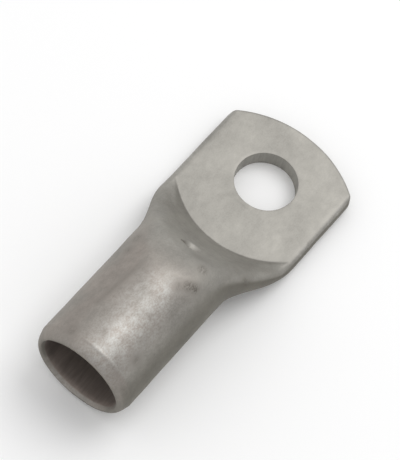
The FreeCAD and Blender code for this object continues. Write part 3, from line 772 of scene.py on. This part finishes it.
# %% [markdown]
# ## Sewing the sheets
#
# A sheet's faces are the squares of its grid of points. Put into one mesh, the three sheets still have
# doubled points along their borders. `remove_doubles` merges those, and `recalc_face_normals` turns every
# face outwards, after which no edge may be left open.

# %% One closed mesh
MERGE_DISTANCE = 2e-7
SHORTEST_EDGE = 1e-8


def grid_faces(rows, columns, start, closed):
    """The four corners of each square of a grid whose points are numbered row by row from start.

    They are a point, the next in its row, and the same two a row further on. A closed grid joins its last
    column to its first.
    """
    column = np.arange(columns if closed else columns - 1)
    first = start + np.arange(rows - 1)[:, None] * columns + column
    after = start + np.arange(rows - 1)[:, None] * columns + (column + 1) % columns
    return np.stack([first, after, after + columns, first + columns], axis=-1).reshape(-1, 4)


points, faces, finish_of = [], [], []
for sheet, closed, finish_numbers in (
    (tube_sheet, True, tube_finish),
    (rim_sheet, False, rim_finish),
    (face_sheet, True, face_finish),
):
    squares = grid_faces(*sheet.shape[:2], sum(map(len, points)), closed)
    faces.append(squares)
    points.append(sheet.reshape(-1, 3))
    gaps = len(sheet) - 1
    finish_of.append(np.broadcast_to(finish_numbers, (gaps, len(squares) // gaps)).ravel())
points, faces, finish_of = (np.concatenate(part) for part in (points, faces, finish_of))
lug = add_mesh("lug_skin", points * MM, faces.tolist())
lug.data.polygons.foreach_set("material_index", finish_of)

sewn = bmesh.new()
sewn.from_mesh(lug.data)
bmesh.ops.remove_doubles(sewn, verts=sewn.verts, dist=MERGE_DISTANCE)
bmesh.ops.dissolve_degenerate(sewn, dist=SHORTEST_EDGE, edges=sewn.edges)
bmesh.ops.recalc_face_normals(sewn, faces=sewn.faces)
sewn.to_mesh(lug.data)
sewn.free()
lug.data.shade_smooth()
edge_of_corner = np.empty(len(lug.data.loops), dtype=np.int32)
lug.data.loops.foreach_get("edge_index", edge_of_corner)
open_edges = (np.bincount(edge_of_corner) != 2).sum()
print("sewn:", len(lug.data.vertices), "points,", len(lug.data.polygons), "faces,", open_edges, "open edges")

# %% [markdown]
# ## Small unevenness
#
# Nothing pressed and tumbled is perfectly flat or round, and a reflection shows it at once. A displacement
# texture could do this, but a few long sine waves are enough: they move each point inwards by some
# hundredths of a millimetre. Inwards only, so that the lug grows nowhere, and never below the floor.

# %% Long low waves
WAVES = np.array([
    [0.31, 0.17, 0.23],
    [0.12, 0.43, -0.27],
    [-0.52, 0.21, 0.35],
    [0.26, -0.61, 0.19],
    [0.71, 0.33, -0.44],
])
WAVE_DEPTHS = np.array([0.014, 0.011, 0.008, 0.006, 0.004])
WAVE_RATE, WAVE_SHIFT = 1.6, 1.9


def read_points(mesh, what):
    """The three numbers that each point of a mesh has under a name, as one array."""
    values = np.empty(len(mesh.vertices) * 3)
    mesh.vertices.foreach_get(what, values)
    return values.reshape(-1, 3)


def unevenness(points):
    """Inward depth in mm: a sum of long sine waves, each lifted so that it is never negative."""
    phases = points @ WAVES.T * WAVE_RATE + np.arange(len(WAVES)) * WAVE_SHIFT
    return (WAVE_DEPTHS * (1 + np.sin(phases))).sum(-1)


places = read_points(lug.data, "co") / MM
depths = unevenness(places)
places -= read_points(lug.data, "normal") * depths[:, None]
places[:, 2] = np.maximum(places[:, 2], 0)
lug.data.vertices.foreach_set("co", (places * MM).ravel())
lug.data.update()
print("the skin is moved in by up to", depths.max().round(3), "mm")

# %% [markdown]
# ## Where the finish differs
#
# The finish isn't the same everywhere, and some of its colour stands in for light: painted shade and a
# painted
# highlight. Each difference is a mask: a number from 0 to 1 for every point of the mesh, worked out from
# where the point is and which way it faces, and kept as an attribute that the materials read. A painted
# picture would need an unwrapped mesh, and on points this close it would show nothing more. The first mask
# is the copper blush, on the rolled mouth, the barrel's top and its left.

# %% Mask of the copper blush
BAND_END, BAND_BLUR = -57.6, 0.5
BAND_BLUSH, BARREL_BLUSH, TOP_BLUSH, LEFT_BLUSH = 0.9, 0.15, 0.65, 0.6
BARREL_FADE, LEFT_FADE = (-40, -28), (-32, -22)
FACING_TOP, FACING_LEFT = (0.55, 0.95), (0.25, 0.75)


def keep_mask(name, values):
    """Keep one number for each point of the skin as an attribute."""
    lug.data.attributes.new(name, "FLOAT", "POINT").data.foreach_set("value", values.astype(np.float32))
    print("mask", name, "has a mean of", values.mean().round(3))


x, y, _ = places.T
_, facing_left, facing_up = read_points(lug.data, "normal").T
band = 1 - smooth(x, BAND_END - BAND_BLUR, BAND_END + BAND_BLUR)
barrel = 1 - smooth(x, *BARREL_FADE)
left = smooth(facing_left, *FACING_LEFT) * (1 - smooth(x, *LEFT_FADE))
on_barrel = barrel * (BARREL_BLUSH + TOP_BLUSH * smooth(facing_up, *FACING_TOP))
keep_mask("blush", np.maximum(BAND_BLUSH * band, on_barrel + LEFT_BLUSH * left))

# %% [markdown]
# ## Smudges, and painted shade in the dimple and along the barrel
#
# Handling leaves small dark smudges, mostly round the shoulder and the mouth. The smallest and darkest mark,
# in the upper side of the dimple, is painted shade, and so is one long dark line along the barrel. A smudge
# is a soft round mark about a place on the skin, and the line is the same about a segment. Later the
# material breaks their edges up, so they don't look stamped.

# %% Mask of the soil and painted shade
SMUDGES_AND_SHADE = (
    # x, y, z and radius in mm, strength
    (-33.5, 8.3, 18.2, 1.1, 0.5),
    (-36.9, 7.8, 18.6, 0.9, 0.45),
    (-35.9, -5.9, 20.2, 0.9, 0.75),
    (-35.0, -7.2, 19.4, 0.9, 0.6),
    (-37.5, -4.6, 20.9, 1.0, 0.4),
    (-30.8, -5.6, 19.0, 1.2, 0.5),
    (-28.4, -3.0, 17.0, 1.6, 0.25),
    (-23.6, -12.2, 11.0, 1.3, 0.5),
    # Painted shade: the dark pit on the dimple's upper side.
    (-26.8, 1.8, 15.2, 0.5, 1.6),
    (-57.5, 4.5, 20.6, 1.2, 0.4),
    (-58.6, -3.0, 20.4, 0.8, 0.15),
    (-53.5, -7.8, 18.7, 1.3, 0.3),
)
SMUDGE_SHARE = 1.5
# The streak is painted shade: a long dark line along the top of the barrel.
STREAK_START, STREAK_END = np.array([-50.0, 4.7, 20.9]), np.array([-38.5, 3.6, 21.4])
STREAK_RADIUS, STREAK_SHARE = 0.6, 0.35


def round_mark(middle, radius):
    """A soft round mark: e to the minus square of distance over radius."""
    return np.exp(-((places - middle)**2).sum(-1) / radius**2)


def line_mark(start, end, radius):
    """A soft line from start to end: the same of the distance to the nearest place between them."""
    length = end - start
    share = np.clip((places - start) @ length / (length @ length), 0, 1)
    return round_mark(start + share[:, None] * length, radius)


soil = sum(SMUDGE_SHARE * strength * round_mark(place, radius) for *place, radius, strength in SMUDGES_AND_SHADE)
soil = soil + STREAK_SHARE * line_mark(STREAK_START, STREAK_END, STREAK_RADIUS)
keep_mask("soil", np.clip(soil, 0, 1))

# %% [markdown]
# ## Painted shade and dullness on the flanks
#
# What faces down or sideways, the flank facing -y most, and the hollow flanks beside the slope get a darker
# colour, which is painted shade, and a little more roughness, which makes them duller. So the mask grows as
# the skin turns away from straight up.

# %% Mask of the painted shade and dullness
DOWN_SHADE, FLANK_SHADE = 0.72, 0.22
FACING_DOWN, FACING_RIGHT = (-0.2, 0.85), (0.68, 0.98)
FLANK_LENGTHWAYS, FLANK_OUT = (-32, -27), (4, 10)
PAST_CREASE = (NOSE_RADIUS + 1, NOSE_RADIUS + 4)

nose_distance = np.hypot(x - NOSE_MIDDLE, y)
down = 1 - smooth(facing_up, *FACING_DOWN)
right = smooth(-facing_left, *FACING_RIGHT)
past_crease = smooth(nose_distance, *PAST_CREASE)
flank = smooth(x, *FLANK_LENGTHWAYS) * smooth(np.abs(y), *FLANK_OUT) * past_crease
# The darker colour that this mask mixes in is painted shade; its extra roughness is real dullness.
keep_mask("dull", np.clip(np.maximum(DOWN_SHADE * down, right) + FLANK_SHADE * flank, 0, 1))

# %% [markdown]
# ## A painted highlight, and wear on the edges
#
# A strip along the barrel, at one angle round it, which goes on more faintly over the mouth, is lighter and
# smoother: a painted highlight as well as rubbed wear. The palm's softened edges, where the lug rubs against
# others in the tumbler, are lighter from wear.

# %% Mask of the painted highlight and worn edges
STRIP_START, STRIP_FADE = (MOUTH + 2.3, MOUTH + 3.1), (-42, -34)
STRIP_FACING, STRIP_WIDTH, STRIP_UP = -0.26, 0.38, (0.2, 0.7)
BAND_WEAR_AND_HIGHLIGHT, EDGE_RUBBED = 0.7, 0.45
EDGE_TURNS_DOWN, EDGE_TURNS_FLAT = (0.3, 0.6), (0.9, 0.995)

# The strip along the barrel and over the mouth is a painted highlight as well as wear; the palm's edges are
# wear.
along_barrel = smooth(x, *STRIP_START) * (1 - smooth(x, *STRIP_FADE))
across_strip = np.exp(-((facing_left - STRIP_FACING) / STRIP_WIDTH)**2)
strip = (along_barrel + BAND_WEAR_AND_HIGHLIGHT * band) * across_strip * smooth(facing_up, *STRIP_UP)
on_edge = smooth(facing_up, *EDGE_TURNS_DOWN) * (1 - smooth(facing_up, *EDGE_TURNS_FLAT))
keep_mask("rubbed", np.maximum(strip, EDGE_RUBBED * (on_edge * (nose_distance < NOSE_RADIUS))))

# %% [markdown]
# ## Helpers for node trees
#
# A material is a tree of nodes with links between their sockets. Written out one by one, it would take
# hundreds of lines, so five small functions make the nodes that this lesson needs. Each takes values or
# other nodes' outputs alike.

# %% Functions that make nodes
FLOAT, COLOUR, VECTOR = "NodeSocketFloat", "NodeSocketColor", "NodeSocketVector"


def group(name, inputs, outputs):
    """A new shader node group with named sockets, and the sockets of its input and output nodes."""
    made = bpy.data.node_groups.new(name, "ShaderNodeTree")
    for socket, kind in inputs:
        made.interface.new_socket(socket, in_out="INPUT", socket_type=kind)
    for socket, kind in outputs:
        made.interface.new_socket(socket, in_out="OUTPUT", socket_type=kind)
    return made, made.nodes.new("NodeGroupInput").outputs, made.nodes.new("NodeGroupOutput").inputs


def feed(tree, socket, value):
    """Give a socket a value, or link it to another socket."""
    if isinstance(value, bpy.types.NodeSocket):
        tree.links.new(value, socket)
    else:
        socket.default_value = value


def maths(tree, operation, *values):
    """A Math node: one operation on up to three numbers."""
    node = tree.nodes.new("ShaderNodeMath")
    node.operation = operation
    for socket, value in zip(node.inputs, values):
        feed(tree, socket, value)
    return node.outputs[0]


def spread(tree, value, low, high):
    """A value from 0 to 1, spread over low to high: value times their difference, plus low."""
    return maths(tree, "MULTIPLY_ADD", value, high - low, low)


def mix(tree, share, first, second, blend="MIX"):
    """A Mix node for colours: the first, and a share of the second."""
    node = tree.nodes.new("ShaderNodeMix")
    node.data_type = "RGBA"
    node.blend_type = blend
    colours = [socket for socket in node.inputs if socket.type == "RGBA"]
    feed(tree, node.inputs["Factor"], share)
    feed(tree, colours[0], first)
    feed(tree, colours[1], second)
    return next(socket for socket in node.outputs if socket.type == "RGBA")


print("node helpers ready")

# %% [markdown]
# ## Mottling
#
# Electroplated tin on an etched tube is a satin metal, and what makes it real is mottling at three scales:
# clouds some millimetres wide, patches of a millimetre, and a fine grain. Every finish of the lug needs
# it, with sizes of its own, so it is a node group, built once: three noise textures with their scales as
# inputs.

# %% Mottling as a node group
NOISES = (
    # name, output, detail, roughness
    ("Cloud", "Clouds", 2.0, 0.5),
    ("Patch", "Patches", 3.0, 0.6),
    ("Grain", "Grain", 2.0, 0.7),
)

mottling, given, gives = group(
    "mottling",
    [("Coordinates", VECTOR), *((f"{name} Scale", FLOAT) for name, _, _, _ in NOISES)],
    [(output, FLOAT) for _, output, _, _ in NOISES],
)
for name, output, detail, roughness in NOISES:
    node = mottling.nodes.new("ShaderNodeTexNoise")
    node.inputs["Detail"].default_value = detail
    node.inputs["Roughness"].default_value = roughness
    feed(mottling, node.inputs["Vector"], given["Coordinates"])
    feed(mottling, node.inputs["Scale"], given[f"{name} Scale"])
    feed(mottling, gives[output], node.outputs["Fac"])
print("mottling puts out", [socket.name for socket in gives if socket.name])

# %% [markdown]
# ## Plated metal's colour
#
# The second group turns the mottling and the masks into a colour, a roughness and a height. The colour
# starts as the metal's, and takes the blush, the painted shade of the dullness mask, the wear with its
# painted highlight, and the soil with its painted shade in turn. Blush and soil gather where the clouds are,
# and the worn places and the soil are broken up into flecks, as wear is. At last all of it gets lighter and
# darker with the mottling.

# %% Plated metal as a node group: its colour
BLUSH_CLOUDS, FLECK_CLOUDS = (0.1, 1.9), (0.2, 1.8)
FLECK_THRESHOLD, WEAR_HIGHLIGHT_SHARPNESS, SOIL_AND_SHADE_SHARPNESS = 0.8, 2.0, 2.5
CLOUD_SWING, PATCH_SWING, GRAIN_SWING = 0.45, 0.3, 0.4
WEAR_HIGHLIGHT_CONTRAST = 1.7
COLOURS = ("Metal", "Blush Metal", "Rubbed Metal", "Dull Metal", "Soil Metal")
VALUES = ("Contrast", "Smoothness", "Blush", "Rubbed", "Dull", "Soil", "Clouds", "Patches", "Grain")

plating, given, gives = group(
    "plating",
    [(name, COLOUR) for name in COLOURS] + [(name, FLOAT) for name in VALUES],
    [("Colour", COLOUR), ("Roughness", FLOAT), ("Height", FLOAT)],
)


def broken(mask, sharpness):
    """A mask broken up into flecks.

    A fleck is where patches plus grain are above the threshold, and there are more of them in the clouds.
    """
    together = maths(plating, "ADD", given["Patches"], given["Grain"])
    above = maths(plating, "MULTIPLY_ADD", together, sharpness, -sharpness * FLECK_THRESHOLD)
    flecks = maths(plating, "MAXIMUM", maths(plating, "MINIMUM", above, 1.0), 0.0)
    clustered = maths(plating, "MULTIPLY", given[mask], spread(plating, given["Clouds"], *FLECK_CLOUDS))
    return maths(plating, "MULTIPLY", clustered, flecks)


cloudy = maths(plating, "MULTIPLY", given["Blush"], spread(plating, given["Clouds"], *BLUSH_CLOUDS))
colour = mix(plating, cloudy, given["Metal"], given["Blush Metal"])
# Painted shade comes in with the dullness, a painted highlight with the wear, and more painted shade with
# the soil.
colour = mix(plating, given["Dull"], colour, given["Dull Metal"])
colour = mix(plating, broken("Rubbed", WEAR_HIGHLIGHT_SHARPNESS), colour, given["Rubbed Metal"])
colour = mix(plating, broken("Soil", SOIL_AND_SHADE_SHARPNESS), colour, given["Soil Metal"])
speckle = spread(plating, given["Clouds"], -CLOUD_SWING, CLOUD_SWING)
for name, swing in (("Patches", PATCH_SWING), ("Grain", GRAIN_SWING)):
    speckle = maths(plating, "ADD", speckle, spread(plating, given[name], -swing, swing))
stronger = spread(plating, given["Rubbed"], 1.0, WEAR_HIGHLIGHT_CONTRAST)
shade = maths(plating, "MULTIPLY_ADD", speckle, maths(plating, "MULTIPLY", given["Contrast"], stronger), 1.0)
grey = plating.nodes.new("ShaderNodeCombineColor")
for channel in ("Red", "Green", "Blue"):
    feed(plating, grey.inputs[channel], shade)
feed(plating, gives["Colour"], mix(plating, 1.0, colour, grey.outputs["Color"], "MULTIPLY"))
print("plating has", len([socket for socket in given if socket.name]), "inputs")

# %% [markdown]
# ## Plated metal's roughness and height
#
# Roughness is what makes the tin satin. The grain varies it a little, rubbed places are smoother and dull
# ones rougher. The height is for a faint bump, which only breaks up the highlights: every form that can
# be seen is in the mesh itself.

# %% Plated metal as a node group: its roughness and height
GRAIN_ROUGHNESS = (0.92, 1.08)
RUBBED_ROUGHNESS, DULL_ROUGHNESS = -0.06, 0.08
PATCH_HEIGHT = 0.5

rough = maths(plating, "SUBTRACT", spread(plating, given["Grain"], *GRAIN_ROUGHNESS), given["Smoothness"])
rough = maths(plating, "MULTIPLY_ADD", given["Rubbed"], RUBBED_ROUGHNESS, rough)
feed(plating, gives["Roughness"], maths(plating, "MULTIPLY_ADD", given["Dull"], DULL_ROUGHNESS, rough))
height = maths(plating, "MULTIPLY_ADD", given["Patches"], PATCH_HEIGHT, given["Grain"])
feed(plating, gives["Height"], height)
print("plating puts out", [socket.name for socket in gives if socket.name])

# %% [markdown]
# ## Three finishes of the same metal
#
# Each material places the two groups with values of its own and feeds one metallic shader. The outside is
# a warm grey satin. The bore is browner and is drawn out into streaks along the tube, and the cut metal
# has streaks that run the way the punch went. A streak is plain mottling whose coordinates are squeezed
# along one axis, with no second texture.

# %% A function that makes a finish
BUMP_STRENGTH = 0.5


def finish(name, colours, sizes, stretch, contrast, smoothness, relief):
    """A material from the two groups, with mottling sizes and relief in mm."""
    made = bpy.data.materials.new(name)
    made.use_nodes = True
    tree = made.node_tree
    shader = tree.nodes["Principled BSDF"]
    shader.inputs["Metallic"].default_value = 1.0
    where = tree.nodes.new("ShaderNodeTexCoord")
    drawn = tree.nodes.new("ShaderNodeMapping")
    drawn.inputs["Scale"].default_value = stretch
    feed(tree, drawn.inputs["Vector"], where.outputs["Object"])
    spots = tree.nodes.new("ShaderNodeGroup")
    spots.node_tree = mottling
    feed(tree, spots.inputs["Coordinates"], drawn.outputs["Vector"])
    for (scale, _, _, _), size in zip(NOISES, sizes):
        spots.inputs[f"{scale} Scale"].default_value = 1 / (size * MM)
    skin = tree.nodes.new("ShaderNodeGroup")
    skin.node_tree = plating
    for socket, value in zip(COLOURS, colours):
        skin.inputs[socket].default_value = value
    skin.inputs["Contrast"].default_value = contrast
    skin.inputs["Smoothness"].default_value = smoothness
    for _, output, _, _ in NOISES:
        feed(tree, skin.inputs[output], spots.outputs[output])
    for mask in ("blush", "rubbed", "dull", "soil"):
        reader = tree.nodes.new("ShaderNodeAttribute")
        reader.attribute_name = mask
        feed(tree, skin.inputs[mask.capitalize()], reader.outputs["Fac"])
    bump = tree.nodes.new("ShaderNodeBump")
    bump.inputs["Strength"].default_value = BUMP_STRENGTH
    bump.inputs["Distance"].default_value = relief * MM
    feed(tree, bump.inputs["Height"], skin.outputs["Height"])
    feed(tree, shader.inputs["Base Color"], skin.outputs["Colour"])
    feed(tree, shader.inputs["Roughness"], skin.outputs["Roughness"])
    feed(tree, shader.inputs["Normal"], bump.outputs["Normal"])
    return made


print("a finish takes", len(COLOURS), "colours and", len(NOISES), "sizes")

# %% The three finishes
TIN = (0.37, 0.357, 0.328, 1)
BLUSH = (0.338, 0.308, 0.28, 1)
# A lighter tin for wear and for the painted highlight along the barrel.
WEAR_AND_HIGHLIGHT_TIN = (0.385, 0.381, 0.364, 1)
# Painted shade: a darker tin for what faces down or sideways.
PAINTED_SHADE_TIN = (0.197, 0.187, 0.162, 1)
# Dirt, and painted shade in the dimple and along the barrel.
SOIL_AND_SHADE = (0.13, 0.115, 0.098, 1)
BORE = (0.36, 0.31, 0.28, 1)
# Painted shade inside the bore, on its roof and sides.
BORE_PAINTED_SHADE = (0.2, 0.17, 0.152, 1)
# Dirt and painted shade, as on the outside.
BORE_SOIL_AND_SHADE = (0.12, 0.1, 0.085, 1)
CUT = (0.37, 0.36, 0.333, 1)

finishes = {
    OUTSIDE_FINISH: finish(
        "tinned_outside",
        colours=(TIN, BLUSH, WEAR_AND_HIGHLIGHT_TIN, PAINTED_SHADE_TIN, SOIL_AND_SHADE),
        sizes=(6.0, 1.3, 0.35),
        stretch=(0.8, 1, 1),
        contrast=0.5,
        smoothness=0.43,
        relief=0.03,
    ),
    BORE_FINISH: finish(
        "tinned_bore",
        colours=(BORE, BORE, BORE, BORE_PAINTED_SHADE, BORE_SOIL_AND_SHADE),
        sizes=(8.0, 2.0, 0.5),
        stretch=(0.15, 1, 1),
        contrast=0.5,
        smoothness=0.35,
        relief=0.02,
    ),
    CUT_FINISH: finish(
        "punched_edge",
        colours=(CUT, CUT, CUT, CUT, SOIL_AND_SHADE),
        sizes=(5.0, 1.0, 0.3),
        stretch=(1, 1, 0.12),
        contrast=0.8,
        smoothness=0.38,
        relief=0.04,
    ),
}
for number in sorted(finishes):
    lug.data.materials.append(finishes[number])
print("the lug's finishes are", [material.name for material in lug.data.materials])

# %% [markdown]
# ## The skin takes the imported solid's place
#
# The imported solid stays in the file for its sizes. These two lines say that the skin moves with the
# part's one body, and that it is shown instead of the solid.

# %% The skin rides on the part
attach(lug, "root")
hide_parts("cable_lug")
triangles = len(lug.data.loops) - 2 * len(lug.data.polygons)
print("the lug's skin has", triangles, "triangles")
